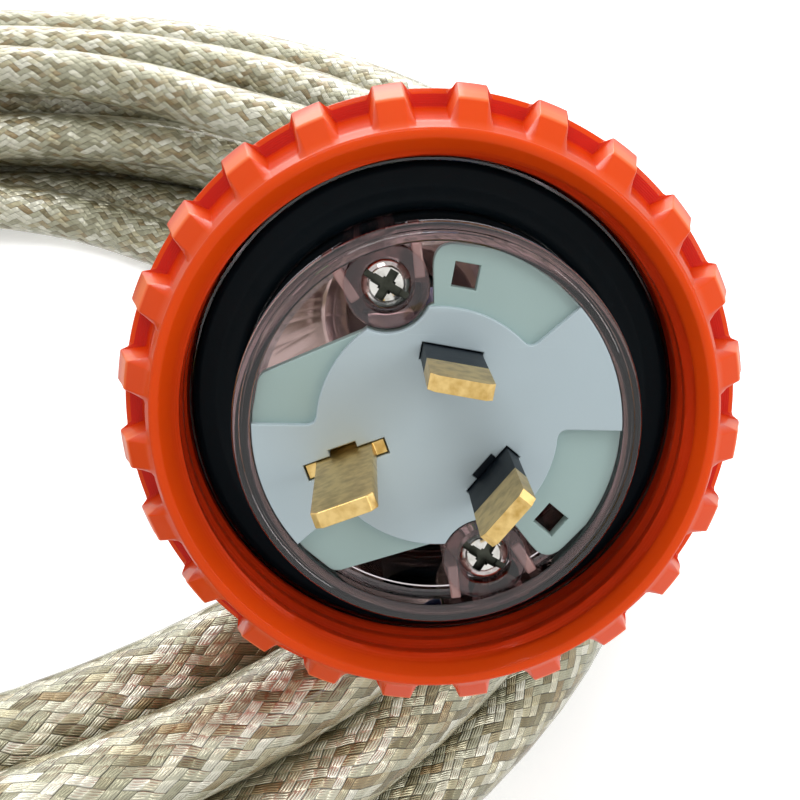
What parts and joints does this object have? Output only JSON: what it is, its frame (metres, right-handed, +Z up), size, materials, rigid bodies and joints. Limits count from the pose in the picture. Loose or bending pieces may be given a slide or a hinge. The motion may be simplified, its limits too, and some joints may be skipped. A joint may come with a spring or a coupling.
{
  "type": "shore power cord",
  "caption": "Weatherproof three-pin plug with an orange screw ring and clear body on a coiled braided screened cord that ends in a matching socket connector.",
  "frame": {"origin": "centre of the plug's pin face", "axes": "+Z up, +Y from the plug's nose back along the cord, +X right seen from the pin face"},
  "size_m": [0.3322, 0.328, 0.1295],
  "materials": {
    "clear_polycarbonate": "clear moulded, faint grey tint",
    "orange_plastic": "moulded, translucent at thin edges",
    "black_rubber": "moulded, satin",
    "pale_nylon": "moulded, satin",
    "black_sleeve": "moulded on the pin",
    "brass_pins": "drawn, bright",
    "steel_screws": "nickel plated",
    "braided_cord": "clear sheath over a braided metal screen",
    "brown_core": "extruded insulation",
    "blue_core": "extruded insulation",
    "green_yellow_core": "extruded insulation"
  },
  "bodies": {
    "plug_and_cord": {"front_shell": "clear_polycarbonate", "face_gasket": "black_rubber", "pin_carrier": "pale_nylon", "active_pin": "brass_pins", "neutral_pin": "brass_pins", "earth_pin": "brass_pins", "active_sleeve": "black_sleeve", "neutral_sleeve": "black_sleeve", "face_screws": "steel_screws", "terminal_screws": "steel_screws", "rear_housing": "clear_polycarbonate", "joint_seal": "black_rubber", "gland_seal": "black_rubber", "gland_washer": "pale_nylon", "gland_nut": "clear_polycarbonate", "sheath_end": "braided_cord", "active_core": "brown_core", "neutral_core": "blue_core", "earth_core": "green_yellow_core", "plug_lead": "braided_cord", "cord_coil": "braided_cord", "connector_lead": "braided_cord", "connector_collar": "clear_polycarbonate", "socket_face": "pale_nylon", "active_contact": "brass_pins", "neutral_contact": "brass_pins", "earth_contact": "brass_pins", "contact_screws": "steel_screws", "socket_screws": "steel_screws", "connector_housing": "clear_polycarbonate", "connector_joint_seal": "black_rubber", "connector_gland_seal": "black_rubber", "connector_gland_washer": "pale_nylon", "connector_gland_nut": "clear_polycarbonate", "connector_sheath_end": "braided_cord", "connector_active_core": "brown_core", "connector_neutral_core": "blue_core", "connector_earth_core": "green_yellow_core"},
    "slip_washer": {"slip_washer": "pale_nylon"},
    "screw_ring": {"screw_ring": "orange_plastic"}
  },
  "joints": [
    {"name": "ring_slide", "type": "slide", "parent": "plug_and_cord", "child": "slip_washer", "axis": [0, -0.9336, 0.3584], "range_m": [-0.0034, 0.007]},
    {"name": "ring_turn", "type": "hinge", "parent": "slip_washer", "child": "screw_ring", "pos_m": [0, 0, 0], "axis": [0, -0.9336, 0.3584], "continuous": true}
  ]
}
